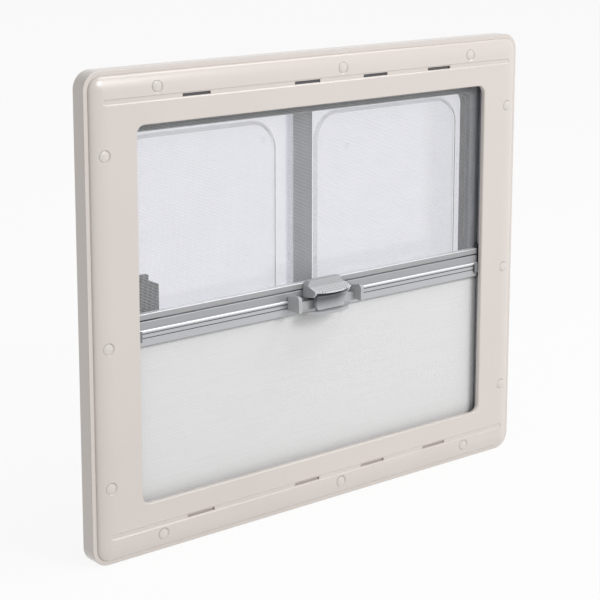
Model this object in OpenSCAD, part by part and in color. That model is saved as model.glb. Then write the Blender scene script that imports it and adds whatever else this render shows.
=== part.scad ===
// Sliding window for a caravan wall: an outer frame that fills the cut-out, a moulded inner frame
// that screws to the wall around it, two double panes, a flyscreen that rolls down from the top,
// a blackout blind that rolls up from the bottom, and the catch that joins their pull bars.
// Everything is modelled lying on its outer side and then stood up: x runs along the width, y up
// the height, and z from the outer skin of the wall towards the room. The stood-up part faces -Y.

/* [Wall cut-out] */
// Width of the cut-out in the wall
cut_w = 564; // [530:1:660]
// Height of the cut-out in the wall
cut_h = 480; // [440:1:540]
// Thickness of the wall between the two frames
wall_t = 28; // [27:0.5:32]

/* [Inner frame] */
// How far the inner frame covers the wall on the left and right of the cut-out
cover_side = 34; // [33:0.5:38]
// How far the inner frame covers the wall above and below the cut-out
cover_end = 26; // [26:0.25:27]
// Width of the inner frame's left and right bands, from its outer edge to the opening
band_side = 61; // [59:0.5:64]
// Width of the inner frame's top and bottom bands
band_end = 60; // [59.5:0.5:63]
// Depth of the inner frame, from the wall to its face
trim_d = 26; // [25:0.5:28]
// Wall thickness of the moulding
skin = 3; // [2.5:0.1:3.4]
// Radius of the inner frame's outer corners
corner_r = 20; // [19:0.5:22]
// Radius of the opening's corners
open_r = 9.5; // [8:0.5:12]
// Width of the ledge that runs around the inner frame's face
ledge_w = 5.5; // [4.5:0.25:6]
// Height of the face above that ledge
riser = 7; // [6:0.25:8]
// Width of the rounded margin that rises from the ledge to the flat of the face
margin_w = 22; // [20:0.5:23]

/* [Caps, slots and groove] */
// Diameter of the screw caps
cap_d = 11.6; // [11:0.1:12.4]
// Width of the shallow groove along the top and bottom bands
groove_w = 6.8; // [6.2:0.1:7]
// Length of one ventilation slot
slot_len = 37; // [30:0.5:42]
// Height of one ventilation slot
slot_h = 3.4; // [3:0.1:3.5]

/* [Screens] */
// Depth of the cloths behind the face
cloth_depth = 14; // [13.5:0.5:15]
// Thickness of the cloths
cloth_t = 0.6; // [0.4:0.1:0.8]
// Diameter of the rollers with the cloth wound on them
roller_d = 18; // [16:0.5:18]
// Height of the flyscreen's pull bar
screen_bar_h = 6.8; // [6:0.2:8]
// Height of the blind's pull bar
blind_bar_h = 27.4; // [26.8:0.1:30]
// How far the top of the flyscreen's bar stands above the middle of the window
bar_level = 2.5; // [-40:0.5:40]

/* [Outer frame and panes] */
// Width of the outer frame's left and right bands, inside the cut-out
frame_side = 12; // [12:0.5:14]
// Width of the outer frame's top and bottom bands
frame_end = 47; // [45:0.5:50]
// How far the outer flange covers the wall around the cut-out
flange_w = 11; // [10:0.5:13]
// Thickness of one acrylic sheet
sheet_t = 2.5; // [2.2:0.1:2.7]
// Depth of a double pane, from its flat sheet to the panel formed in the other
pane_d = 8.2; // [7.5:0.1:8.5]
// Radius of the formed panel's corners
panel_r = 35; // [25:1:45]

/* [Catch] */
// Diameter of the hinge pin
pin_d = 2.5; // [2:0.1:3]
// Gap around the hinge pin in the lever
pin_gap = 0.05; // [0.03:0.01:0.08]
// Width of the catch's hood over its cheeks
hood_w = 52; // [48:0.5:60]

/* [Hidden] */
$fn = 48;

trim_w = cut_w + 2 * cover_side;
trim_h = cut_h + 2 * cover_end;
open_w = trim_w - 2 * band_side;
open_h = trim_h - 2 * band_end;
half_w = open_w / 2;
half_h = open_h / 2;

// Gaps and laps between pieces
seat = 0.3;
lap = 0.1;
past = 1;

// Heights above the outer skin of the wall
face_z = wall_t + trim_d;
plate_z = face_z - skin;
ledge_z = face_z - riser;
cloth_z = face_z - cloth_depth;

// The opening's lip
lip_d = 5;
lip_r = 2.2;
lip_w = 6;

// Steps of the curved margin: the rim makes those that fit inside its round corners, and the
// crown the rest
margin_steps = 12;
rim_in = corner_r - 0.2;
rim_steps = max([for (i = [1:margin_steps]) if (margin_in(margin_t(i)) < rim_in) i]);

// The ribs behind the bands, which seat on the outer frame
rib_t = 2.2;

// The screw caps stand off the opening by the same share of its size all the way round
cap_x = [-0.897 * half_w, 0.107 * half_w, 0.903 * half_w];
cap_y = [-0.866 * half_h, -0.124 * half_h, 0.866 * half_h];
cap_inset = 20.4;
cap_side_x = trim_w / 2 - cap_inset;
cap_end_y = trim_h / 2 - cap_inset;
cap_depth = 7.6;
cap_gap = 0.2;
cap_bevel = 1;
cap_dome = 1;
boss_d = 18;
boss_end = wall_t + 3;
screw_d = 3.5;
screw_head_d = 8;
screw_head_h = 2.4;
screw_tip = wall_t - 10;
screw_bore_d = 4.2;

// The shallow groove and the slots in it
groove_y = half_h + 27.4;
groove_half = trim_w / 2 - 18;
groove_d = 1.2;
groove_slope = 1.3;
slot_x = [-0.697 * half_w, -0.097 * half_w, 0.3025 * half_w, 0.7 * half_w];

// The outer frame
flange_t = 4.5;
flange_edge = 1.5;
frame_gap = 1;
frame_top = 18;
frame_r = 25;
rib_x = cut_w / 2 - frame_gap - seat;
rib_y = cut_h / 2 - frame_gap - seat;
light_half_w = cut_w / 2 - frame_side;
light_half_h = cut_h / 2 - frame_end;
light_r = 15;
light_bevel = 2;
seal_w = 4;
seal_t = 1.5;
channel_wall = 2.5;
centre_z = cut_h / 2 + (seal_w + flange_w) / 2;

// The channels for the panes: the sliding pane's is nearer the room
track_d = 8;
run_gap = 1;
inner_pane_z = 8.6;
outer_pane_z = -2;
web_low = 7;
web_high = 8;
roof_z = 17.2;

// The panes
pane_y = light_half_h + track_d - run_gap;
pane_x = light_half_w + track_d - run_gap;
pane_r = light_r + track_d - run_gap;
stile_left = -15;
stile_right = 13;
stile_bite = 6;
stile_proud = 2.4;
panel_gap_side = 13;
panel_gap_end = 3;
panel_gap_stile = 24;
panel_gap_fixed = 12;
panel_slope = 5;
grip_w = 12;
grip_t = 5;
plug_d = 7;
plug_t = 0.8;
left_plug_in = 22;
left_plug_down = 25.5;
right_plug_in = 49;
right_plug_down = 48.5;

// The lock on the sliding pane
lock_left = -light_half_w + grip_w + 1;
lock_right = lock_left + 48;
lock_half_h = 31;
lock_t = 6;
lock_slant = 5;
lock_base_z = inner_pane_z + pane_d;
knob_w = 10;
knob_h = 7;
knob_x = lock_right - 17.8;

// The cassettes and rollers
cassette_t = 1.5;
cassette_low = half_h + 6;
cassette_high = rib_y - rib_t - seat;
cassette_front = plate_z - seat;
cassette_back = frame_top + past;
cassette_half = half_w + 20;
roller_z = cloth_z - cloth_t - roller_d / 2;
roller_y = cassette_low + cassette_t + roller_d / 2 + past;
journal_d = 7;
slit_half = 3;

// The guides
cloth_half = half_w + 12;
guide_in = half_w + 3.5;
guide_out = half_w + 18;
guide_back = cassette_back + 7;
guide_web = 2;
guide_slot = 3;

// The pull bars
bar_front = face_z - 8;
bar_back = cloth_z - cloth_t - 0.6;
bar_half = half_w + 1;
bar_end = guide_in - seat;
bar_r = 1;
tongue_out = guide_out - guide_web - 1;
tongue_half = guide_slot - 1;
screen_bar_top = bar_level;
screen_bar_low = screen_bar_top - screen_bar_h;
bar_gap = 1.3;
blind_bar_top = screen_bar_low - bar_gap;
blind_bar_low = blind_bar_top - blind_bar_h;
ridge_r = 1.6;
ridge_y = blind_bar_top - 10.3;
flute_y = [ridge_y - 3.3, ridge_y - 8];
flute_h = 0.9;
flute_d = 0.8;
end_piece_in = bar_half - 6.4;
end_piece_top = ridge_y + 0.7;
end_piece_low = ridge_y - 11.5;
end_piece_back = bar_front + ridge_r + lap;
end_piece_front = end_piece_back + 1;
slider_rise = 5;

// The catch
hood_half = hood_w / 2;
block_w = 4.6;
block_out = hood_half + 22.8;
block_r = 5;
block_high = bar_level - 9.7;
block_low = block_high - 18.8;
block_fall = 3.5;
block_front = face_z + 13;
base_low = bar_level - 30;
base_high = bar_level - 19.5;
base_front = face_z + 1;
hood_top_half = hood_half - 3.2;
hood_flare = 1.3;
cheek_t = 2.2;
hood_top = bar_level + 3;
hood_ridge = bar_level - 2.3;
hood_wall_z = face_z + 1;
hood_nose_z = face_z + 20;
hood_nose_r = 76;
hood_slope = 0.285;
hood_t = 1.8;
cheek_nose_z = face_z + 14.5;
pin_z = face_z + 8;
pin_y = bar_level - 10.5;
knuckle_r = 3;
lever_gap = 1.6;
lever_half = hood_half - cheek_t - lever_gap;
lever_low_half = lever_half - 2.6;
rim_y = bar_level - 12.7;
rim_t = 1.6;
rim_z = face_z + 17;
grip_low = bar_level - 29.8;
grip_low_z = face_z + 11.5;
grip_deep_z = face_z + 8.5;
lever_back_z = face_z + 6.2;
tray_high = grip_low - 1;
tray_t = 3.4;
tray_edge = 0.8;
tray_under = 2.6;
tray_half = hood_half + 4.8;
tray_side_z = face_z + 7.5;
tray_nose_z = face_z + 19;
tray_inset = 3;

// Rectangle with round corners, centred
module round_rect(w, h, r) {
    square([w - 2 * r, h], center = true);
    square([w, h - 2 * r], center = true);
    for (x = [-1, 1], y = [-1, 1])
        translate([x * (w / 2 - r), y * (h / 2 - r)])
            circle(r);
}

// Frame between two rectangles with round corners, side_w wide at the sides and end_w at the ends
module round_frame(w, h, r, side_w, end_w, hole_r) {
    difference() {
        round_rect(w, h, r);
        round_rect(w - 2 * side_w, h - 2 * end_w, hole_r);
    }
}

// Runs a section around a rectangle with round corners: x in the section is the distance outwards
// from the rectangle's edge, and y in it is the height
module run_round(w, h, r) {
    for (turn = [0, 1])
        mirror([turn, 0, 0])
            translate([w / 2, h / 2 - r, 0])
                rotate([90, 0, 0])
                    linear_extrude(h - 2 * r)
                        children();
    for (turn = [0, 1])
        mirror([0, turn, 0])
            rotate([0, 0, 90])
                translate([h / 2, w / 2 - r, 0])
                    rotate([90, 0, 0])
                        linear_extrude(w - 2 * r)
                            children();
    for (x = [0, 1], y = [0, 1])
        mirror([x, 0, 0])
            mirror([0, y, 0])
                translate([w / 2 - r, h / 2 - r, 0])
                    rotate_extrude(angle = 90)
                        translate([r, 0])
                            children();
}

// Plate between two heights
module plate(low, high) {
    translate([0, 0, low])
        linear_extrude(high - low)
            children();
}

// Block between two corners
module block(a, b) {
    translate(a)
        cube(b - a);
}

// Extrudes a section that lies across the window, between two places along its width
module across(left, right) {
    translate([left, 0, 0])
        rotate([90, 0, 90])
            linear_extrude(right - left)
                children();
}

// Cylinder along the width at a height y up the window and z off the wall
module rod(y, z, r, length) {
    translate([0, y, z])
        rotate([0, 90, 0])
            cylinder(r = r, h = length, center = true);
}

// Stands the lying part up, facing -Y, with its origin on the outer flange's lower strip
module stand() {
    translate([0, 0, centre_z])
        rotate([90, 0, 0])
            children();
}

module at_end_caps(side) {
    for (x = cap_x)
        translate([x, side * cap_end_y, 0])
            children();
}

module at_side_caps(side) {
    for (y = cap_y)
        translate([side * cap_side_x, y, 0])
            children();
}

module at_all_caps() {
    for (side = [-1, 1]) {
        at_end_caps(side) children();
        at_side_caps(side) children();
    }
}

// The margin is a quarter ellipse: its height, and how far in from the outer edge, at each step
function margin_t(step) = pow(step / margin_steps, 1.8);
function margin_z(t) = face_z - riser * (1 - sqrt(1 - pow(1 - t, 2)));
function margin_in(t) = ledge_w + margin_w * t;

// Section of the inner frame's rim: side wall, ledge, valley and margin
module rim_section() {
    polygon([
        [0, wall_t], [0, ledge_z - 1], [-0.4, ledge_z - 0.3], [-1.2, ledge_z],
        [-ledge_w + 1, ledge_z], [-ledge_w, ledge_z - 0.4],
        for (i = [1:rim_steps])
            let (t = margin_t(i))
                [-margin_in(t), margin_z(t)],
        [-corner_r + 0.1, face_z], [-corner_r + 0.1, plate_z - lap], [-ledge_w - 9, plate_z - lap],
        [-ledge_w - 3, ledge_z - skin + 2], [-skin, ledge_z - skin], [-skin, wall_t]
    ]);
}

// Section of the opening's lip, rounded over the edge of the face
module lip_section() {
    polygon([
        [0, face_z - lip_d], [0, face_z - lip_r],
        for (a = [150:-30:120]) [lip_r + lip_r * cos(a), face_z - lip_r + lip_r * sin(a)],
        [lip_r, face_z], [lip_w, face_z], [lip_w, plate_z], [skin, plate_z], [skin - 0.6, face_z - lip_d]
    ]);
}

// Outline of the face across the frame: flat in the middle, with the margin's last rise at its
// edges. Outside the rim's last step it carries on a little, so that the two cross there
module crown_section(edge) {
    start = margin_t(rim_steps);
    next = margin_t(rim_steps + 1);
    out = start - 0.1;
    out_z = margin_z(start) - (margin_z(next) - margin_z(start)) * 0.1 / (next - start);
    rise = [
        [-lap, 0], [-lap, out_z], [margin_in(out), out_z],
        for (i = [rim_steps + 1:margin_steps])
            [margin_in(margin_t(i)), margin_z(margin_t(i))]
    ];
    polygon(concat([for (p = rise) [p[0] - edge, p[1]]],
                   [for (i = [len(rise) - 1:-1:0]) [edge - rise[i][0], rise[i][1]]]));
}

// Recess for a cap, with a fine bevel at its mouth, and the screw's bore under it
module cap_recess(mouth) {
    r = cap_d / 2 + cap_gap;
    plate(face_z - cap_depth, face_z + past)
        circle(r);
    translate([0, 0, mouth - cap_bevel])
        cylinder(r1 = r, r2 = r + 2 * cap_bevel, h = 2 * cap_bevel);
    plate(boss_end - past, face_z)
        circle(d = screw_bore_d);
}

// Shallow groove with sloping walls and round ends
module groove() {
    low_w = groove_w - 2 * groove_slope;
    low_half = groove_half - groove_slope;
    low_z = face_z - groove_d;
    plate(low_z, face_z + past)
        round_rect(2 * low_half, low_w, low_w / 2 - 0.01);
    run_round(2 * low_half, low_w, low_w / 2 - 0.01)
        polygon([[-0.2, low_z], [0, low_z], [groove_slope, face_z], [groove_slope, face_z + past],
                 [-0.2, face_z + past]]);
}

module inner_frame() {
    color("antiquewhite")
    difference() {
        union() {
            intersection() {
                union() {
                    run_round(trim_w, trim_h, corner_r)
                        rim_section();
                    plate(plate_z, face_z)
                        difference() {
                            square([trim_w - 2 * rim_in, trim_h - 2 * rim_in], center = true);
                            round_rect(open_w + 2 * lip_w - lap, open_h + 2 * lip_w - lap, open_r + lip_w);
                        }
                }
                translate([0, trim_h / 2 + past, 0])
                    rotate([90, 0, 0])
                        linear_extrude(trim_h + 2 * past)
                            crown_section(trim_w / 2);
                across(-trim_w / 2 - past, trim_w / 2 + past)
                    crown_section(trim_h / 2);
            }
            run_round(open_w, open_h, open_r)
                lip_section();
            for (side = [-1, 1]) {
                translate([side * (rib_x - rib_t / 2), 0, 0])
                    plate(frame_top + seat, plate_z + lap)
                        square([rib_t, open_h], center = true);
                translate([0, side * (rib_y - rib_t / 2), 0])
                    plate(frame_top + seat, plate_z + lap)
                        square([open_w, rib_t], center = true);
            }
            at_all_caps()
                plate(boss_end, plate_z + lap)
                    circle(d = boss_d);
        }
        for (side = [-1, 1]) {
            at_end_caps(side)
                cap_recess(face_z - 0.6);
            at_side_caps(side)
                cap_recess(face_z - 0.3);
            translate([0, side * groove_y, 0]) {
                groove();
                for (x = slot_x)
                    translate([x, 0, 0])
                        plate(plate_z - past, face_z + past)
                            square([slot_len, slot_h], center = true);
            }
        }
    }
}

// A screw cap: a shallow dome on a short plug, seated over the screw's head
module cap(top) {
    dome_r = (cap_d * cap_d / 4 + cap_dome * cap_dome) / (2 * cap_dome);
    base = face_z - cap_depth + screw_head_h + seat;
    intersection() {
        plate(base, top + past)
            circle(d = cap_d);
        translate([0, 0, top - dome_r])
            sphere(dome_r, $fn = 96);
    }
}

// A clamp screw: a pan head and a shank that ends in the outer frame
module screw() {
    seat_z = face_z - cap_depth;
    plate(seat_z, seat_z + screw_head_h)
        circle(d = screw_head_d);
    plate(screw_tip, seat_z + lap)
        circle(d = screw_d);
}

module top_caps() {
    color("ivory")
        at_end_caps(1)
            cap(face_z - 0.2);
}

module bottom_caps() {
    color("ivory")
        at_end_caps(-1)
            cap(face_z - 0.2);
}

module left_caps() {
    color("ivory")
        at_side_caps(-1)
            cap(face_z);
}

module right_caps() {
    color("ivory")
        at_side_caps(1)
            cap(face_z);
}

module top_screws() {
    color("silver")
        at_end_caps(1)
            screw();
}

module bottom_screws() {
    color("silver")
        at_end_caps(-1)
            screw();
}

module left_screws() {
    color("silver")
        at_side_caps(-1)
            screw();
}

module right_screws() {
    color("silver")
        at_side_caps(1)
            screw();
}

// Housing around a roller, open at the slit where the cloth leaves it, for the top band
module cassette() {
    difference() {
        block([-cassette_half, cassette_low, cassette_back], [cassette_half, cassette_high, cassette_front]);
        block([-cassette_half + cassette_t, cassette_low + cassette_t, cassette_back + cassette_t],
              [cassette_half - cassette_t, cassette_high - cassette_t, cassette_front - cassette_t]);
        block([-cloth_half - past, cassette_low - past, cloth_z - slit_half],
              [cloth_half + past, cassette_low + cassette_t + past, cloth_z + slit_half]);
    }
}

module screen_cassette() {
    color("dimgray")
        cassette();
}

module blind_cassette() {
    color("dimgray")
        mirror([0, 1, 0])
            cassette();
}

// Roller with its end journals, for the top band
module roller() {
    rod(roller_y, roller_z, roller_d / 2, 2 * cloth_half);
    rod(roller_y, roller_z, journal_d / 2, 2 * (cassette_half - cassette_t));
}

module screen_roller() {
    color("slategray")
        roller();
}

module blind_roller() {
    color("white")
        mirror([0, 1, 0])
            roller();
}

module flyscreen() {
    color("gray")
        block([-cloth_half, screen_bar_top, cloth_z - cloth_t], [cloth_half, roller_y, cloth_z]);
}

module blackout_blind() {
    color("white")
        block([-cloth_half, -roller_y, cloth_z - cloth_t], [cloth_half, blind_bar_low, cloth_z]);
}

// Channel that holds the cloths' right edges and guides the bars' ends
module guide() {
    reach = cassette_low - seat;
    difference() {
        block([guide_in, -reach, guide_back], [guide_out, reach, plate_z - seat]);
        block([guide_in - past, -reach - past, cloth_z - guide_slot],
              [guide_out - guide_web, reach + past, cloth_z + guide_slot]);
    }
}

module left_guide() {
    color("dimgray")
        mirror([1, 0, 0])
            guide();
}

module right_guide() {
    color("dimgray")
        guide();
}

// Outline of a bar's end, with rounded front edges: y first, then z
module bar_section(low, high) {
    square_h = high - low;
    translate([low + square_h / 2, (bar_front + bar_back) / 2])
        round_rect(square_h, bar_front - bar_back, bar_r);
}

module screen_bar() {
    color("silver")
        across(-bar_half, bar_half)
            bar_section(screen_bar_low, screen_bar_top);
}

module blind_bar() {
    color("silver") {
        difference() {
            across(-bar_half, bar_half)
                bar_section(blind_bar_low, blind_bar_top);
            for (y = flute_y)
                block([-bar_half - past, y - flute_h / 2, bar_front - flute_d],
                      [bar_half + past, y + flute_h / 2, bar_front + past]);
        }
        rod(ridge_y, bar_front, ridge_r, 2 * bar_half);
    }
}

// Slider at a bar's right end: a cap against the bar, and a tongue that runs in the guide's slot
module slider(low, high, inset) {
    block([bar_half, low, bar_back], [bar_end, high, bar_front]);
    block([bar_end - lap, low + inset, cloth_z - tongue_half],
          [tongue_out, high - inset, cloth_z + tongue_half]);
}

// The flyscreen's sliders stand up past their bar, in front of the mesh
module screen_bar_ends() {
    color("black")
        for (side = [0, 1])
            mirror([side, 0, 0]) {
                slider(screen_bar_low, screen_bar_top, 0.5);
                block([bar_half, screen_bar_top - lap, cloth_z + cloth_t],
                      [bar_end, screen_bar_top + slider_rise, bar_front]);
            }
}

// The blind's sliders also carry a plate that covers the end of the ridge
module blind_bar_ends() {
    color("gray")
        for (side = [0, 1])
            mirror([side, 0, 0]) {
                slider(blind_bar_low, blind_bar_top, 4);
                block([bar_half, end_piece_low, bar_front - lap],
                      [bar_end, end_piece_top, end_piece_front]);
                block([end_piece_in, end_piece_low, end_piece_back],
                      [bar_end, end_piece_top, end_piece_front]);
            }
}

module catch_base() {
    color("darkgray")
    difference() {
        block([-block_out + block_w, base_low, bar_front + seat],
              [block_out - block_w, base_high, base_front]);
        rod(ridge_y, bar_front, ridge_r + seat, 3 * block_out);
    }
}

// Block at the catch's right end, with a round shoulder, hooked over the ridge
module end_block() {
    shoulder_y = block_high - block_r;
    shoulder_z = block_front - block_r;
    difference() {
        across(block_out - block_w, block_out)
            polygon([
                [block_low, bar_front + seat], [block_low, block_front], [shoulder_y, block_front],
                for (a = [75:-15:15]) [shoulder_y + block_r * cos(a), shoulder_z + block_r * sin(a)],
                [block_high, shoulder_z], [block_high - block_fall, bar_front + seat]
            ]);
        rod(ridge_y, bar_front, ridge_r + seat, 3 * block_out);
    }
}

module catch_right_block() {
    color("darkgray")
        end_block();
}

module catch_left_block() {
    color("darkgray")
        mirror([1, 0, 0])
            end_block();
}

// Height of the hood's facet, which slopes forward and down from its ridge
function facet_y(z) = hood_ridge - hood_slope * (z - hood_wall_z);

// Section of the hood: an upright wall, then the facet
module hood_section() {
    front = hood_nose_z + past;
    polygon([
        [hood_top, bar_front + seat], [hood_top, hood_wall_z], [hood_ridge, hood_wall_z],
        [facet_y(front), front], [facet_y(front) - hood_t, front],
        [hood_ridge - hood_t, hood_wall_z - 1], [hood_ridge - hood_t, bar_front + seat]
    ]);
}

// Section of the cheeks, which carry the pin and hook over the ridge
module cheek_section() {
    polygon([
        [hood_top, bar_front + seat], [hood_top, hood_wall_z], [hood_ridge, hood_wall_z],
        [facet_y(cheek_nose_z), cheek_nose_z], [pin_y + 0.5, cheek_nose_z],
        [pin_y - 3.6, cheek_nose_z - 4], [pin_y - 5, face_z + 2], [pin_y - 6, bar_front + seat]
    ]);
}

// The hood as it is seen from the room: it widens downwards to its nose, and the cheeks are upright
module hood_front() {
    nose_y = facet_y(hood_nose_z) - hood_t;
    polygon([
        [-hood_top_half, hood_top], [hood_top_half, hood_top], [hood_half, hood_ridge],
        [hood_half + hood_flare, nose_y + 1], [hood_half + hood_flare, nose_y], [hood_half, nose_y - 1],
        [hood_half, base_low], [-hood_half, base_low], [-hood_half, nose_y - 1],
        [-hood_half - hood_flare, nose_y], [-hood_half - hood_flare, nose_y + 1], [-hood_half, hood_ridge]
    ]);
}

// Everything behind an upright arc that bulges towards the room, as far as a height
module behind_arc(front) {
    translate([0, bar_level, front - hood_nose_r])
        rotate([90, 0, 0])
            cylinder(r = hood_nose_r, h = 3 * hood_w, center = true, $fn = 240);
}

module catch_hood() {
    color("darkgray")
    difference() {
        intersection() {
            union() {
                across(-hood_half - hood_flare, hood_half + hood_flare)
                    hood_section();
                for (x = [-hood_half, hood_half - cheek_t])
                    across(x, x + cheek_t)
                        cheek_section();
            }
            plate(bar_front, hood_nose_z + past)
                hood_front();
            behind_arc(hood_nose_z);
        }
        rod(pin_y, pin_z, pin_d / 2, 3 * hood_half);
        rod(ridge_y, bar_front, ridge_r + seat, 3 * hood_half);
    }
}

module catch_pin() {
    color("silver")
        rod(pin_y, pin_z, pin_d / 2, 2 * hood_half - past);
}

// Section of the lever: a rim that reaches forward, and under it a grip that is hollow in front
module lever_section() {
    steps = 8;
    lip_y = rim_y - rim_t;
    polygon([
        [pin_y, pin_z], [pin_y, pin_z + knuckle_r - 0.2], [rim_y, pin_z + knuckle_r],
        [rim_y, rim_z + past], [lip_y, rim_z + past],
        for (i = [0:steps])
            let (t = i / steps,
                 lip_part = (rim_z - 1 - grip_deep_z) * pow(1 - t, 3),
                 low_part = (grip_low_z - grip_deep_z) * t * t)
                [lip_y + (grip_low - lip_y) * t, grip_deep_z + lip_part + low_part],
        [grip_low, lever_back_z], [pin_y - 7, lever_back_z], [pin_y - 2.4, pin_z - 1.6]
    ]);
}

// The lever as it is seen from the room: it narrows downwards
module lever_front() {
    polygon([
        [-lever_half, pin_y + knuckle_r + past], [lever_half, pin_y + knuckle_r + past],
        [lever_half, rim_y - rim_t],
        [lever_low_half, grip_low], [-lever_low_half, grip_low], [-lever_half, rim_y - rim_t]
    ]);
}

// The tray under the grip, seen from above: its front edge is an arc
module tray_outline() {
    rise = tray_nose_z - tray_side_z;
    arc_r = (tray_half * tray_half + rise * rise) / (2 * rise);
    half_turn = asin(tray_half / arc_r);
    polygon([
        [-tray_half + tray_inset, lever_back_z],
        for (i = [0:16])
            let (a = half_turn * (i / 8 - 1))
                [arc_r * sin(a), tray_nose_z - arc_r + arc_r * cos(a)],
        [tray_half - tray_inset, lever_back_z]
    ]);
}

// Section that the tray stays within: its front is cut back underneath
module tray_section() {
    polygon([
        [tray_high + past, face_z], [tray_high + past, tray_nose_z + past],
        [tray_high - tray_edge, tray_nose_z + past],
        [tray_high - tray_t - past, tray_nose_z - tray_under], [tray_high - tray_t - past, face_z]
    ]);
}

module catch_lever() {
    color("darkgray")
    difference() {
        union() {
            intersection() {
                across(-lever_half, lever_half)
                    lever_section();
                plate(face_z, rim_z + past)
                    lever_front();
                behind_arc(rim_z);
            }
            rod(pin_y, pin_z, knuckle_r, 2 * lever_half);
            block([-lever_low_half + 2, tray_high - lap, lever_back_z],
                  [lever_low_half - 2, grip_low + lap, grip_low_z - 2.5]);
            intersection() {
                translate([0, tray_high, 0])
                    rotate([90, 0, 0])
                        linear_extrude(tray_t)
                            tray_outline();
                across(-tray_half - past, tray_half + past)
                    tray_section();
            }
        }
        rod(pin_y, pin_z, pin_d / 2 + pin_gap, 3 * lever_half);
    }
}

// Section of the outer frame around its clear opening, with the two channels for the panes:
// x is the distance outwards from the opening
module channel_section() {
    back = track_d + channel_wall;
    polygon([
        [0, -flange_t + light_bevel], [light_bevel, -flange_t], [back, -flange_t], [back, frame_top],
        [1, frame_top], [0, frame_top - 0.8], [0, roof_z - lap], [track_d, roof_z],
        [track_d, web_high], [0, web_high], [0, web_low], [track_d, web_low], [track_d, outer_pane_z - lap],
        [0, outer_pane_z - lap]
    ]);
}

// Section of the flange's edge, which thins outwards: x is the distance from the flange's edge
module flange_section() {
    polygon([
        [0, 0], [0, -flange_edge + 0.5], [-0.5, -flange_edge], [-flange_w / 2, -flange_t + 0.6],
        [-flange_w + 1, -flange_t], [-flange_w - 4, -flange_t], [-flange_w - 4, 0]
    ]);
}

module outer_frame() {
    light_w = 2 * light_half_w;
    light_h = 2 * light_half_h;
    in = track_d + channel_wall - lap;
    flange_out = cut_w + 2 * flange_w;
    flange_up = cut_h + 2 * flange_w;
    color("dimgray")
    difference() {
        union() {
            run_round(light_w, light_h, light_r)
                channel_section();
            run_round(flange_out, flange_up, frame_r + flange_w)
                flange_section();
            plate(-flange_t, frame_top)
                difference() {
                    round_rect(cut_w - 2 * frame_gap, cut_h - 2 * frame_gap, frame_r);
                    round_rect(light_w + 2 * in, light_h + 2 * in, light_r + in);
                }
        }
        plate(-seal_t, past)
            round_frame(cut_w + 2 * seal_w, cut_h + 2 * seal_w, frame_r + seal_w,
                        seal_w + frame_gap, seal_w + frame_gap, frame_r);
    }
}

module flange_seal() {
    color("black")
        plate(-seal_t, 0)
            round_frame(cut_w + 2 * seal_w, cut_h + 2 * seal_w, frame_r + seal_w,
                        seal_w + frame_gap, seal_w + frame_gap, frame_r);
}

// Pile strip between the sliding pane and the roof of its channel
module pile_seal() {
    block([-light_half_w + light_r, light_half_h + 1, inner_pane_z + 2 * sheet_t],
          [light_half_w - light_r, light_half_h + 5, roof_z - lap]);
}

module top_pile_seal() {
    color("black")
        pile_seal();
}

module bottom_pile_seal() {
    color("black")
        mirror([0, 1, 0])
            pile_seal();
}

// Gasket between the fixed pane's rim and the roof of its channel, on three sides
module fixed_pane_gasket() {
    out = 6;
    in = 2;
    color("black")
        plate(outer_pane_z + 2 * sheet_t, web_low)
            intersection() {
                round_frame(2 * (light_half_w + out), 2 * (light_half_h + out), light_r + out,
                            out - in, out - in, light_r + in);
                translate([stile_right + 1, -light_half_h - track_d])
                    square([light_half_w + track_d, 2 * (light_half_h + track_d)]);
            }
}

// Outline of a double pane: its outer corners follow the channel's, and its other side is straight
module pane_outline(left, right) {
    intersection() {
        round_rect(2 * pane_x, 2 * pane_y, pane_r);
        translate([left, -pane_y])
            square([right - left, 2 * pane_y]);
    }
}

// Outer sheet of a double pane: flat
module flat_sheet(left, right, z) {
    plate(z, z + sheet_t)
        pane_outline(left, right);
}

// Inner sheet of a double pane: a flat rim, a sloping wall and a panel nearer the room
module formed_sheet(left, right, panel_left, panel_right, z) {
    panel_x = (panel_left + panel_right) / 2;
    w = panel_right - panel_left;
    h = 2 * (light_half_h - panel_gap_end);
    low = z + sheet_t;
    top = z + pane_d;
    plate(low, low + sheet_t)
        difference() {
            pane_outline(left, right);
            translate([panel_x, 0])
                round_rect(w, h, panel_r);
        }
    translate([panel_x, 0, 0]) {
        run_round(w, h, panel_r)
            polygon([
                [lap, low], [lap, low + sheet_t], [0, low + sheet_t], [-1, low + sheet_t + 0.4],
                [-panel_slope + 1, top - 0.4], [-panel_slope, top], [-panel_slope - 1, top],
                [-panel_slope - 1, top - sheet_t], [-panel_slope + 0.5, top - sheet_t - 0.3], [-2, low]
            ]);
        plate(top - sheet_t, top)
            round_rect(w - 2 * panel_slope - 1, h - 2 * panel_slope - 1, panel_r - panel_slope - 0.5);
    }
}

module left_outer_sheet() {
    color("lightgray", 0.4)
        flat_sheet(-pane_x, stile_left + stile_bite, inner_pane_z);
}

module left_inner_sheet() {
    color("lightgray", 0.4)
        formed_sheet(-pane_x, stile_left + stile_bite, -light_half_w + panel_gap_side,
                     stile_left - panel_gap_stile, inner_pane_z);
}

module right_outer_sheet() {
    color("lightgray", 0.4)
        flat_sheet(stile_left + 2, pane_x, outer_pane_z);
}

module right_inner_sheet() {
    color("lightgray", 0.4)
        formed_sheet(stile_left + 2, pane_x, stile_right + panel_gap_fixed,
                     light_half_w - panel_gap_side, outer_pane_z);
}

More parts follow.
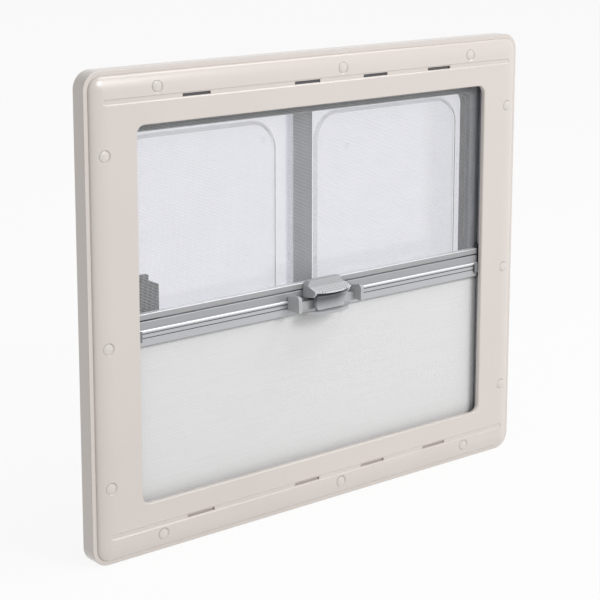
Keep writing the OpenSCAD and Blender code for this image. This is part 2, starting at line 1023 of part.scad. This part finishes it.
// Profile on the sliding pane's free edge, which lies over the fixed pane's edge
module meeting_stile() {
    color("dimgray")
    difference() {
        across(stile_left, stile_right)
            translate([0, (outer_pane_z + inner_pane_z + 4 * sheet_t + seat + stile_proud) / 2])
                round_rect(2 * light_half_h - past,
                           inner_pane_z - outer_pane_z + stile_proud - seat, 0.5);
        block([stile_left - past, -light_half_h - past, inner_pane_z],
              [stile_left + stile_bite + seat, light_half_h + past, inner_pane_z + 2 * sheet_t]);
    }
}

// Grip profile on the sliding pane's left side, which carries the lock
module left_stile() {
    base = inner_pane_z + 2 * sheet_t;
    color("dimgray")
        plate(base, base + grip_t)
            intersection() {
                round_rect(2 * (light_half_w - run_gap), 2 * (light_half_h - run_gap), light_r - run_gap);
                translate([-light_half_w, -light_half_h])
                    square([grip_w, 2 * light_half_h]);
            }
}

// Small round plugs that close the panes' filling holes
module plugs(x, down, z) {
    for (side = [-1, 1])
        translate([x, side * (light_half_h - down), 0])
            plate(z, z + plug_t)
                circle(d = plug_d);
}

module left_plugs() {
    color("silver")
        plugs(stile_left - panel_gap_stile - left_plug_in, left_plug_down, inner_pane_z + pane_d);
}

module right_plugs() {
    color("silver")
        plugs(stile_right + panel_gap_fixed + right_plug_in, right_plug_down, outer_pane_z + pane_d);
}

module pane_lock() {
    color("dimgray")
        plate(lock_base_z, lock_base_z + lock_t)
            polygon([
                [lock_left, -lock_half_h], [lock_right, -lock_half_h],
                [lock_right, lock_half_h - lock_slant - 1], [lock_right - 1, lock_half_h - lock_slant],
                [knob_x + knob_w / 2 + 1, lock_half_h], [lock_left, lock_half_h]
            ]);
}

module pane_lock_knob() {
    color("dimgray")
        translate([knob_x, lock_half_h, 0])
            plate(lock_base_z + 0.5, lock_base_z + lock_t - 0.5) {
                translate([-knob_w / 2, 0])
                    square([knob_w, knob_h - 2]);
                translate([0, knob_h / 2 + 0.5])
                    round_rect(knob_w, knob_h - 1, 2);
            }
}

stand() inner_frame();
stand() top_caps();
stand() bottom_caps();
stand() left_caps();
stand() right_caps();
stand() top_screws();
stand() bottom_screws();
stand() left_screws();
stand() right_screws();
stand() screen_cassette();
stand() blind_cassette();
stand() screen_roller();
stand() blind_roller();
stand() flyscreen();
stand() blackout_blind();
stand() left_guide();
stand() right_guide();
stand() screen_bar();
stand() blind_bar();
stand() screen_bar_ends();
stand() blind_bar_ends();
stand() catch_base();
stand() catch_left_block();
stand() catch_right_block();
stand() catch_hood();
stand() catch_pin();
stand() catch_lever();
stand() outer_frame();
stand() flange_seal();
stand() top_pile_seal();
stand() bottom_pile_seal();
stand() fixed_pane_gasket();
stand() left_inner_sheet();
stand() left_outer_sheet();
stand() right_inner_sheet();
stand() right_outer_sheet();
stand() meeting_stile();
stand() left_stile();
stand() left_plugs();
stand() right_plugs();
stand() pane_lock();
stand() pane_lock_knob();
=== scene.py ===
import math

import bmesh
import bpy
from mathutils import Matrix, Vector


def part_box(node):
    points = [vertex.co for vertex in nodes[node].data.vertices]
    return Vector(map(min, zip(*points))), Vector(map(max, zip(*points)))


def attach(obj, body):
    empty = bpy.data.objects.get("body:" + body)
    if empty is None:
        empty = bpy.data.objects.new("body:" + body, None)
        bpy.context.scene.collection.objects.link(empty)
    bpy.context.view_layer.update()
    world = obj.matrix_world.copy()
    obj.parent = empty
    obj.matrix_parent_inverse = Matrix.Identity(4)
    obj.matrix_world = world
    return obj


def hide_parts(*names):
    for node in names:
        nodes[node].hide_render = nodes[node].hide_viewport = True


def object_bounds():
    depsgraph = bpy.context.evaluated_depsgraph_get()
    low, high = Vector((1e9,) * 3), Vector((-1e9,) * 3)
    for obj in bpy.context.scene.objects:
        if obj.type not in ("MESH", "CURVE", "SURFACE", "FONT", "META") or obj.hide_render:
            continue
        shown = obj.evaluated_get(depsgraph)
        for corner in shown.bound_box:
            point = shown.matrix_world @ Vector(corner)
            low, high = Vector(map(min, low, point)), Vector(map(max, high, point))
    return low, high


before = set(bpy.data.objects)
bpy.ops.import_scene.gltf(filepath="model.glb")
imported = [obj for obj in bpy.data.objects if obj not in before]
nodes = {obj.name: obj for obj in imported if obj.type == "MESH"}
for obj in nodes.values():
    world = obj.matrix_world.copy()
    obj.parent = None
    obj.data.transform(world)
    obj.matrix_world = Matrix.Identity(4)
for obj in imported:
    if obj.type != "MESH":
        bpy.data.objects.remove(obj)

scene = bpy.context.scene
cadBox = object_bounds()
millimetre = 0.001
white = (1, 1, 1, 1)
print("frame loaded:", len(nodes), "nodes")


# A shader socket that can be used in sums and comparisons
class Socket:
    def __init__(self, finish, link):
        self.finish = finish
        self.link = link

    def maths(self, operation, first, second=0.0):
        return self.finish.node("Math", {0: first, 1: second}, operation=operation)

    def __add__(self, other):
        return self.maths("ADD", self, other)

    def __sub__(self, other):
        return self.maths("SUBTRACT", self, other)

    def __rsub__(self, other):
        return self.maths("SUBTRACT", other, self)

    def __mul__(self, other):
        return self.maths("MULTIPLY", self, other)

    def __truediv__(self, other):
        return self.maths("DIVIDE", self, other)

    def __gt__(self, other):
        return self.maths("GREATER_THAN", self, other)

    def __lt__(self, other):
        return self.maths("LESS_THAN", self, other)

    def most(self, other):
        return self.maths("MAXIMUM", self, other)

    def size(self):
        return self.maths("ABSOLUTE", self)

    def root(self):
        return self.maths("SQRT", self)

    def floor(self):
        return self.maths("FLOOR", self)

    def fraction(self):
        return self.maths("FRACT", self)

    def wave(self, pitch):  # from 0 to 1 and back in each pitch
        return self.maths("SINE", self * (2 * math.pi / pitch)) * 0.5 + 0.5

    def about(self, middle, share):  # a pattern from 0 to 1, scaled and moved to a middle value
        return (self - 0.5) * share + middle

    def between(self, low, high):
        return (self > low) * (self < high)


# The node tree of a material or a world, with one way to make any of its nodes
class Finish:
    def __init__(self, owner):
        owner.use_nodes = True
        self.owner = owner
        self.tree = owner.node_tree
        self.tree.nodes.clear()
        self.places = None

    def node(self, kind, values=None, output=0, **settings):
        made = self.tree.nodes.new("ShaderNode" + kind)
        for key, value in settings.items():
            setattr(made, key, value)
        for key, value in (values or {}).items():
            if isinstance(value, Socket):
                self.tree.links.new(value.link, made.inputs[key])
            else:
                made.inputs[key].default_value = value
        return Socket(self, made.outputs[output] if made.outputs else None)

    def place(self, scale=(1, 1, 1)):  # object coordinates in millimetres, times a scale
        if self.places is None:
            self.places = self.node("TexCoord", output="Object")
        return self.node("Mapping", {"Vector": self.places, "Scale": [s / millimetre for s in scale]})

    def axes(self, letters):
        split = self.node("SeparateXYZ", {"Vector": self.place()}).link.node
        return [Socket(self, split.outputs[letter]) for letter in letters]

    def towards(self, letter):  # 1 where a face looks along the axis, and 0 where it lies along it
        normal = self.node("TexCoord", output="Normal")
        return self.node("SeparateXYZ", {"Vector": normal}, letter).size()

    def noise(self, grain, detail=2.0, stretch=(1, 1, 1)):
        place = self.place([s / grain for s in stretch])
        return self.node("TexNoise", {"Vector": place, "Scale": 1.0, "Detail": detail})

    def mix(self, share, first, second):  # inputs 6 and 7 and output 2 are the node's colours
        return self.node("Mix", {0: share, 6: first, 7: second}, 2, data_type="RGBA")

    def fade(self, value, full, none):  # 1 up to the first value, and down to 0 at the second
        limits = {"From Min": full, "From Max": none, "To Min": 1.0, "To Max": 0.0}
        return self.node("MapRange", {"Value": value, **limits}, interpolation_type="SMOOTHSTEP")

    def shade(self, base, amount):  # from half the colour at 0 to one and a half of it, at most white, at 1
        dark = [c * 0.5 for c in base[:3]] + [1]
        light = [min(1.0, c * 1.5) for c in base[:3]] + [1]
        return self.mix(amount, dark, light)

    def bump(self, height, depth, under=None):  # depth in millimetres, on top of another bump if given
        values = {"Height": height, "Distance": depth * millimetre, "Strength": 1.0}
        if under is not None:
            values["Normal"] = under
        return self.node("Bump", values)

    def principled(self, **values):
        return self.node("BsdfPrincipled", {key.replace("_", " "): value for key, value in values.items()})

    def output(self, surface, kind="OutputMaterial"):
        self.node(kind, {"Surface": surface})
        return self.owner


def newFinish(name):
    return Finish(bpy.data.materials.new(name))


def colour(red, green, blue):  # from the 0 to 255 values that a render shows
    def linear(v):
        v = v / 255
        return v / 12.92 if v <= 0.04045 else ((v + 0.055) / 1.055) ** 2.4
    return [linear(red), linear(green), linear(blue), 1]


def plastic(f, look, base, **more):  # the fine grain that the plastics share, over a base colour
    grain = f.noise(look["grain"])
    return f.output(f.principled(
        Base_Color=base, Roughness=grain.about(look["rough"], look["roughVary"]),
        Normal=f.bump(grain, look["depth"]), **more))


def mouldedPlastic(name, look):
    f = newFinish(name)
    cloudy = f.noise(look["cloud"], detail=3.0)
    base = f.shade(look["colour"], cloudy.about(0.5, look["vary"]))
    return plastic(f, look, base, Coat_Weight=look["coat"], Coat_Roughness=look["coatRough"])


def dottedPlastic(name, look):  # rows of fine dots across the facet in front of a depth
    f = newFinish(name)
    x, y = f.axes("XY")
    row = (look["back"] - y) / look["rowPitch"]
    across = x / look["pitch"] + row.floor() * 0.5
    u = across.fraction().about(0.0, look["pitch"])
    v = row.fraction().about(0.0, look["rowPitch"])
    # painted light: faces in front of the back depth, other than the sideways cheeks, are lighter, as the
    # lamps light the front facet more than the top
    facet = (row > 0) * (f.towards("X") < look["sideways"])
    body = f.mix(facet, look["colour"], look["litFacetColour"])
    inside = (row > 0) * (row < look["rows"]) * (x.size() < look["half"])
    dots = f.fade((u * u + v * v).root(), *look["dot"]) * inside
    grained = f.bump(f.noise(look["grain"]), look["depth"])
    return f.output(f.principled(
        Base_Color=f.mix(dots * look["dark"], body, look["dotColour"]),
        Roughness=dots * look["dotRough"] + look["rough"],
        Normal=f.bump(dots, look["dotHeight"], under=grained)))


def hollowPlastic(name, look):  # painted shade, darker under a rim, most at the top and the left end
    f = newFinish(name)
    x, z = f.axes("XZ")
    upper = f.fade(z, look["top"], look["low"]) * (z < look["rim"])
    paintedShade = upper * f.fade(x, look["left"], look["right"])
    return plastic(f, look, f.mix(paintedShade, look["colour"], look["paintedShadeColour"]))


def steppedPlastic(name, look):  # one colour behind a depth, which may be clear, and another in front
    f = newFinish(name)
    [y] = f.axes("Y")
    front = y < look["front"]
    base = f.mix(front, look["colour"], look["frontColour"])
    solid = front.most(look["solid"])
    for low, high, lineColour in look["lines"]:  # between two depths
        line = y.between(low, high)
        base = f.mix(line, base, lineColour)
        solid = solid.most(line)
    return plastic(f, look, base, Alpha=solid)


def brushedMetal(name, look):
    f = newFinish(name)
    streak = f.noise(1.0, detail=3.0, stretch=look["streaks"])
    cloudy = f.noise(look["cloud"])
    [z] = f.axes("Z")
    brushed = f.shade(look["colour"], streak.about(0.0, look["vary"]) + cloudy.about(0.5, look["cloudVary"]))
    # bands of colour between two heights: painted highlights on top faces and ridges, painted shade in
    # grooves, and plain darker bands
    for low, high, bandColour in look["highlightAndShadeBands"]:  # between two heights
        brushed = f.mix(z.between(low, high), brushed, bandColour)
    return f.output(f.principled(
        Base_Color=brushed, Metallic=look["metal"],
        Roughness=streak.about(look["rough"], look["roughVary"]), Normal=f.bump(streak, look["depth"])))


def clearSheet(name, look):  # thin clear plastic: light goes straight on, dimmed at steep walls and bends
    f = newFinish(name)
    grazing = f.node("LayerWeight", output="Facing")
    steep = f.fade(grazing, *look["steep"])
    bend = f.towards("Y").between(*look["bend"]) * look["bendShare"]
    clear = f.node("BsdfTransparent", {"Color": look["colour"]})
    dim = f.node("BsdfTransparent", {"Color": look["edgeColour"]})
    haze = f.node("BsdfDiffuse", {"Color": look["colour"]})
    ripple = f.bump(f.noise(look["ripple"], detail=1.0), look["depth"])
    shine = f.node("BsdfGlossy", {"Color": white, "Roughness": look["rough"], "Normal": ripple})
    through = f.node("MixShader", {0: steep.most(bend), 1: clear, 2: dim})
    body = f.node("MixShader", {0: look["haze"], 1: through, 2: haze})
    mirrored = grazing * grazing * grazing * look["most"] + look["least"]
    return f.output(f.node("MixShader", {0: mirrored, 1: body, 2: shine}))


def meshCloth(name, look):  # a square mesh of round threads, open between them
    f = newFinish(name)
    across, up = [along / look["pitch"] for along in f.axes("XZ")]
    warp, weft = [f.fade((along.fraction() - 0.5).size() * 2.0, *look["thread"]) for along in (across, up)]
    over = (across.floor() + up.floor()).wave(2.0)
    cloudy = f.noise(look["cloud"])
    return f.output(f.principled(
        Base_Color=f.shade(look["colour"], cloudy.about(0.5, look["vary"])), Roughness=look["rough"],
        Alpha=warp.most(weft), Normal=f.bump(warp * over + weft, look["depth"])))


def wovenCloth(name, look):
    f = newFinish(name)
    x, z = f.axes("XZ")
    threads = x.wave(look["pitch"]) * z.wave(look["pitch"])
    twill = (x + z).wave(look["twill"])
    slub = f.noise(look["slub"], detail=3.0, stretch=look["slubStretch"])
    height = threads * look["threadHeight"] + twill * look["twillHeight"] + slub * look["slubHeight"]
    tone = twill.about(0.0, look["vary"]) + slub.about(0.5, look["slubVary"])
    return f.output(f.principled(
        Base_Color=f.shade(look["colour"], tone), Roughness=look["rough"], Sheen_Weight=look["sheen"],
        Sheen_Roughness=look["sheenRough"], Normal=f.bump(height, look["depth"])))


# Places, pitches and depths are in millimetres, and a look starts from what its kind shares
plasticLook = {"rough": 0.5, "roughVary": 0.12, "grain": 0.5, "depth": 0.03, "cloud": 60, "vary": 0.1,
               "coat": 0.0, "coatRough": 0.2}
metalLook = {"metal": 0.5, "rough": 0.5, "roughVary": 0.15, "vary": 0.1, "depth": 0.01,
             "streaks": (0.004, 2.2, 2.2), "cloud": 60, "cloudVary": 0.05, "highlightAndShadeBands": []}
looks = {
    "trim": {**plasticLook, "colour": colour(212, 204, 198), "rough": 0.3, "depth": 0.008, "cloud": 90,
             "vary": 0.05, "coat": 0.6},
    "caps": {**plasticLook, "colour": colour(216, 208, 202), "rough": 0.3, "depth": 0.01, "cloud": 30,
             "vary": 0.04},
    "catch": {**plasticLook, "colour": colour(178, 180, 182), "rough": 0.4, "grain": 0.35, "depth": 0.02,
              "cloud": 25, "vary": 0.05},
    # the lighter facet colour is painted light on the hood's front facet
    "hood": {**plasticLook, "colour": colour(180, 182, 184), "litFacetColour": colour(212, 213, 215),
             "grain": 0.35, "depth": 0.02, "back": -58.5, "sideways": 0.6,
             "pitch": 3.6, "rowPitch": 3.8, "rows": 4, "half": 23, "dot": (0.85, 1.19),
             "dotColour": colour(120, 121, 124), "dark": 0.6, "dotRough": 0.1, "dotHeight": 0.2},
    # the hollow colour is painted shade in the grip's hollow, darkest at its top under the rim and at its
    # left end
    "grip": {**plasticLook, "colour": colour(178, 180, 182), "paintedShadeColour": colour(98, 100, 104),
             "rough": 0.4, "grain": 0.35, "depth": 0.02,
             "top": 236.0, "low": 218.0, "rim": 240.6, "left": 6, "right": 30},
    "guide": {**plasticLook, "colour": colour(135, 137, 142), "cloud": 50},
    # the blind cassette is painted lighter than the screen cassette's housing, as light reaches it through
    # the lower slots
    "litCasing": {**plasticLook, "colour": colour(184, 176, 169), "depth": 0.02, "vary": 0.05},
    # the screen bar's light top band is a painted highlight, where its top face takes the lamps from above
    "screenBar": {**metalLook, "colour": colour(166, 166, 168),
                  "highlightAndShadeBands": [(249.4, 251, colour(228, 229, 232))]},
    # the blind bar's bands: a darker upper flat, a painted highlight along the ridge, and painted shade in
    # the two grooves below it
    "blindBar": {**metalLook, "colour": colour(186, 187, 190), "rough": 0.42,
                 "highlightAndShadeBands": [(232.6, 243, colour(166, 167, 170)), (229.8, 232.6, colour(242, 243, 244)),
                             (227.8, 228.8, colour(105, 105, 109)), (223.1, 224.1, colour(105, 105, 109))]},
    "ends": {**plasticLook, "colour": colour(30, 30, 31), "grain": 0.4, "depth": 0.02, "cloud": 20,
             "vary": 0.08},
    "barEnds": {**plasticLook, "colour": colour(30, 30, 31), "frontColour": colour(120, 121, 124),
                "front": -46.6, "lines": [], "solid": 1.0, "roughVary": 0.1, "grain": 0.4, "depth": 0.02},
    "stile": {**plasticLook, "colour": colour(222, 223, 228), "frontColour": colour(122, 124, 128),
              "front": -15.6, "lines": [(-13.4, -12.6, colour(70, 71, 74))], "solid": 0.12,
              "roughVary": 0.1, "grain": 0.6},
    "lock": {**plasticLook, "colour": colour(46, 47, 50), "grain": 0.6},
    "frame": {**plasticLook, "colour": colour(120, 122, 126), "grain": 0.6},
    "housing": {**plasticLook, "colour": colour(86, 87, 90), "rough": 0.55, "cloud": 50},
    "rubber": {**plasticLook, "colour": colour(28, 28, 29), "rough": 0.7, "grain": 0.4, "cloud": 40,
               "vary": 0.15},
    "zinc": {**metalLook, "colour": colour(200, 200, 200), "metal": 1.0, "rough": 0.35, "vary": 0.2},
    "acrylic": {"colour": colour(252, 252, 254), "edgeColour": colour(60, 61, 64), "rough": 0.02,
                "ripple": 120, "depth": 0.004, "least": 0.03, "most": 0.6, "haze": 0.02,
                "steep": (0.8, 0.6), "bend": (0.8, 0.985), "bendShare": 0.22},
    "mesh": {"colour": colour(211, 212, 216), "pitch": 1.6, "thread": (0.153, 0.207), "cloud": 30,
             "vary": 0.2, "rough": 0.6, "depth": 0.1},
    "blackout": {"colour": colour(239, 239, 240), "rough": 0.85, "sheen": 0.15, "sheenRough": 0.5,
                 "pitch": 0.7, "twill": 4.0, "slub": 1.5, "slubStretch": (0.025, 1, 1),
                 "threadHeight": 0.5, "twillHeight": 0.5, "slubHeight": 0.6,
                 "depth": 0.1, "vary": 0.1, "slubVary": 0.12},
}
trim = mouldedPlastic("creamPlastic", looks["trim"])
caps = mouldedPlastic("capPlastic", looks["caps"])
catch = mouldedPlastic("catchPlastic", looks["catch"])
hood = dottedPlastic("hoodPlastic", looks["hood"])
grip = hollowPlastic("gripPlastic", looks["grip"])
litCasing = mouldedPlastic("casingPlastic", looks["litCasing"])
guideGrey = mouldedPlastic("guideGrey", looks["guide"])
screenBar = brushedMetal("greyAluminium", looks["screenBar"])
blindBar = brushedMetal("satinAluminium", looks["blindBar"])
ends = mouldedPlastic("blackPlastic", looks["ends"])
barEnds = steppedPlastic("endPlastic", looks["barEnds"])
stile = steppedPlastic("stilePlastic", looks["stile"])
frameGrey = mouldedPlastic("frameGrey", looks["frame"])
lockGrey = mouldedPlastic("lockGrey", looks["lock"])
housing = mouldedPlastic("housingGrey", looks["housing"])
rubber = mouldedPlastic("sealRubber", looks["rubber"])
zinc = brushedMetal("zincPlate", looks["zinc"])
acrylic = clearSheet("clearAcrylic", looks["acrylic"])
meshGrey = meshCloth("screenMesh", looks["mesh"])
blackout = wovenCloth("blackoutWeave", looks["blackout"])
print("finishes made")


def dress(obj, material):
    obj.data.materials.clear()
    obj.data.materials.append(material)


def newObject(name, data):
    obj = bpy.data.objects.new(name, data)
    scene.collection.objects.link(obj)
    return obj


def newPiece(name, mesh, body="window"):
    obj = newObject(name, mesh)
    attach(obj, body)
    return obj


def newMesh(name, shape):
    mesh = bpy.data.meshes.new(name)
    shape.to_mesh(mesh)
    shape.free()
    return mesh


smoothing = {"joined": 0.00001, "dissolved": math.radians(0.6), "coplanar": 0.01, "sharp": math.radians(30),
             "segments": 2}


def beside(face):
    return [other for edge in face.edges for other in edge.link_faces if other != face]


def flatRegions(shape):  # a number for each face, shared by neighbours in one plane, and each number's area
    region = {}
    areas = []
    for first in shape.faces:
        if first in region:
            continue
        region[first] = len(areas)
        joined = [first]
        for face in joined:  # the list grows while it is walked
            for other in beside(face):
                if other not in region and other.normal.angle(first.normal, math.pi) < smoothing["coplanar"]:
                    region[other] = len(areas)
                    joined.append(other)
        areas.append(sum(face.calc_area() for face in joined))
    return region, areas


def cornerNormals(shape):
    # at each corner the mean of the flat regions round it up to the sharp edges, weighted by their area
    region, areas = flatRegions(shape)
    corners = [corner for face in shape.faces for corner in face.loops]
    normals = {}
    for first in corners:
        if first in normals:
            continue
        fan = [first]
        for corner in fan:  # the list grows while it is walked
            for edge in (corner.edge, corner.link_loop_prev.edge):
                if len(edge.link_faces) != 2 or edge.calc_face_angle(math.pi) > smoothing["sharp"]:
                    continue
                fan += [other for other in corner.vert.link_loops
                        if other not in fan and other.face in edge.link_faces]
        around = {region[corner.face]: corner.face.normal for corner in fan}
        normal = sum((areas[key] * facing for key, facing in around.items()), Vector()).normalized()
        for corner in fan:
            normals[corner] = normal
    return [normals[corner] for corner in corners]


def pieceName(node):
    first, *others = node.split("_")
    return first + "".join(part.capitalize() for part in others) + "Piece"


def softened(node, material, body, rounding):
    # the node's own shape with joined faces and smooth curves, and rounded edges where asked
    shape = bmesh.new()
    shape.from_mesh(nodes[node].data)
    bmesh.ops.remove_doubles(shape, verts=shape.verts, dist=smoothing["joined"])
    bmesh.ops.dissolve_limit(shape, angle_limit=smoothing["dissolved"], verts=shape.verts, edges=shape.edges)
    shape.normal_update()
    corners = None if rounding else cornerNormals(shape)
    mesh = newMesh(node + "Mesh", shape)
    mesh.shade_smooth()
    mesh.set_sharp_from_angle(angle=smoothing["sharp"])
    if corners:
        mesh.normals_split_custom_set(corners)
    obj = newPiece(pieceName(node), mesh, body)
    dress(obj, material)
    if rounding:
        bevel = obj.modifiers.new("edges", "BEVEL")
        bevel.width = rounding * millimetre
        bevel.segments = smoothing["segments"]
        bevel.limit_method = "ANGLE"
        bevel.angle_limit = smoothing["sharp"]
        flatter = obj.modifiers.new("flatter", "WEIGHTED_NORMAL")
        flatter.keep_sharp = True
    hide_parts(node)


# Each node's finish, and its edges' rounding in millimetres, or None where model.glb's own mesh is shown
dressing = {
    "top_caps": (caps, 0), "bottom_caps": (caps, 0), "left_caps": (caps, 0), "right_caps": (caps, 0),
    "top_screws": (zinc, None), "bottom_screws": (zinc, None),
    "left_screws": (zinc, None), "right_screws": (zinc, None),
    # the blind cassette's lighter finish is painted light, seen through the lower slots
    "screen_cassette": (housing, None), "blind_cassette": (litCasing, None),
    "screen_roller": (screenBar, None), "blind_roller": (blackout, None),
    "left_guide": (guideGrey, 0.2), "right_guide": (guideGrey, 0.2),
    "catch_pin": (zinc, None), "flange_seal": (rubber, None),
    "top_pile_seal": (rubber, None), "bottom_pile_seal": (rubber, None), "fixed_pane_gasket": (rubber, 0),
    "left_plugs": (acrylic, 0), "right_plugs": (acrylic, 0),
    "inner_frame": (trim, 0), "outer_frame": (frameGrey, 0),
    "screen_bar": (screenBar, 0), "blind_bar": (blindBar, 0),
    "screen_bar_ends": (ends, 0.2), "blind_bar_ends": (barEnds, 0.2),
    "catch_base": (catch, 0.4), "catch_left_block": (catch, 1.0), "catch_right_block": (catch, 1.0),
    "catch_hood": (hood, 0.5), "catch_lever": (grip, 0.5),
    "meeting_stile": (stile, 0.4), "left_stile": (frameGrey, 0.5),
    "pane_lock": (lockGrey, 0.6), "pane_lock_knob": (lockGrey, 0.6),
    "left_inner_sheet": (acrylic, 0), "left_outer_sheet": (acrylic, 0),
    "right_inner_sheet": (acrylic, 0), "right_outer_sheet": (acrylic, 0),
}
for node, (material, rounding) in dressing.items():
    if rounding is None:
        dress(nodes[node], material)
    else:
        softened(node, material, "catch_lever" if node == "catch_lever" else "window", rounding)
print("rigid pieces dressed")

cloths = {
    "screenCloth": {"node": "flyscreen", "finish": meshGrey, "thickness": 0, "columns": 60, "rows": 24,
                    "bar": "screen_bar", "roller": "screen_roller"},
    "blindCloth": {"node": "blackout_blind", "finish": blackout, "thickness": 0.5, "columns": 60,
                   "rows": 24, "bar": "blind_bar", "roller": "blind_roller"},
}
for name, cloth in cloths.items():
    node, bar, roller = cloth["node"], cloth["bar"], cloth["roller"]
    low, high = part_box(node)
    shape = bmesh.new()
    bmesh.ops.create_grid(shape, x_segments=cloth["columns"], y_segments=cloth["rows"], size=0.5)
    upright = Matrix.Rotation(math.pi / 2, 3, "X").to_quaternion()
    bmesh.ops.transform(shape, verts=shape.verts, matrix=Matrix.LocRotScale(
        (low + high) / 2, upright, (high.x - low.x, high.z - low.z, 1)))
    mesh = newMesh(name + "Mesh", shape)
    mesh.shade_smooth()
    obj = newPiece(name, mesh)
    if cloth["thickness"]:
        solid = obj.modifiers.new("cloth", "SOLIDIFY")
        solid.thickness = cloth["thickness"] * millimetre
        solid.offset = 0
    dress(obj, cloth["finish"])
    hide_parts(node)
print("cloths made")

# Fitted to the photo: metres from the middle of the trim's face, radians, and pixels for the lens
cameraView = {"from": (-1.2674, -1.4791, 0.4792), "yaw": 0.6938, "pitch": 0.1894, "roll": -0.0007,
              "focus": 1748.98, "width": 600, "axis": (300, 192), "sensor": 36}
lens = bpy.data.cameras.new("camera")
lens.sensor_width = cameraView["sensor"]
lens.lens = cameraView["focus"] / cameraView["width"] * cameraView["sensor"]
lens.shift_x = 0.5 - cameraView["axis"][0] / cameraView["width"]
lens.shift_y = cameraView["axis"][1] / cameraView["width"] - 0.5
camera = newObject("camera", lens)
trimLow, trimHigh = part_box("inner_frame")
faceMiddle = Vector((0, trimLow.y, (trimLow.z + trimHigh.z) / 2))
camera.location = faceMiddle + Vector(cameraView["from"])
camera.rotation_euler = (math.pi / 2 - cameraView["pitch"], cameraView["roll"], -cameraView["yaw"])
scene.camera = camera

stage = {"floor": colour(240, 240, 240), "size": 30, "seenGlow": 0.9, "seen": 1.0, "light": 0.5,
         "clearBounces": 32}


def directlySeen(f):  # 1 for what the camera sees, also mirrored or through a clear sheet
    straight, glassy, mirrored = [f.node("LightPath", output="Is " + ray + " Ray")
                                  for ray in ("Camera", "Transmission", "Glossy")]
    return straight.most(glassy).most(mirrored)


floorShape = bmesh.new()
bmesh.ops.create_grid(floorShape, x_segments=1, y_segments=1, size=stage["size"])
bmesh.ops.translate(floorShape, verts=floorShape.verts, vec=(0, 0, cadBox[0].z))
floor = newObject("floor", newMesh("floorMesh", floorShape))
f = newFinish("paleFloor")
lit = f.node("BsdfDiffuse", {"Color": stage["floor"]})
glow = f.node("Emission", {"Color": white, "Strength": stage["seen"]})
dress(floor, f.output(f.node("MixShader", {0: directlySeen(f) * stage["seenGlow"], 1: lit, 2: glow})))

f = Finish(bpy.data.worlds.new("studio"))
soft = f.node("Background", {"Color": white, "Strength": stage["light"]})
pale = f.node("Background", {"Color": white, "Strength": stage["seen"]})
scene.world = f.output(f.node("MixShader", {0: directlySeen(f), 1: soft, 2: pale}), "OutputWorld")

lamps = {
    "key": {"from": (1.2, -3.65, 2.1), "size": (1.9, 1.4), "power": 84},
    "top": {"from": (2.5, -1.5, 4.0), "size": (3.0, 1.3), "power": 48},
}
for name, lamp in lamps.items():
    light = bpy.data.lights.new(name, "AREA")
    light.shape = "RECTANGLE"
    light.size, light.size_y = lamp["size"]
    light.energy = lamp["power"]
    holder = newObject(name, light)
    holder.location = faceMiddle + Vector(lamp["from"])
    holder.rotation_euler = (-Vector(lamp["from"])).to_track_quat("-Z", "Y").to_euler()
scene.view_settings.view_transform = "Standard"
scene.cycles.transparent_max_bounces = stage["clearBounces"]
print("camera and lights set")
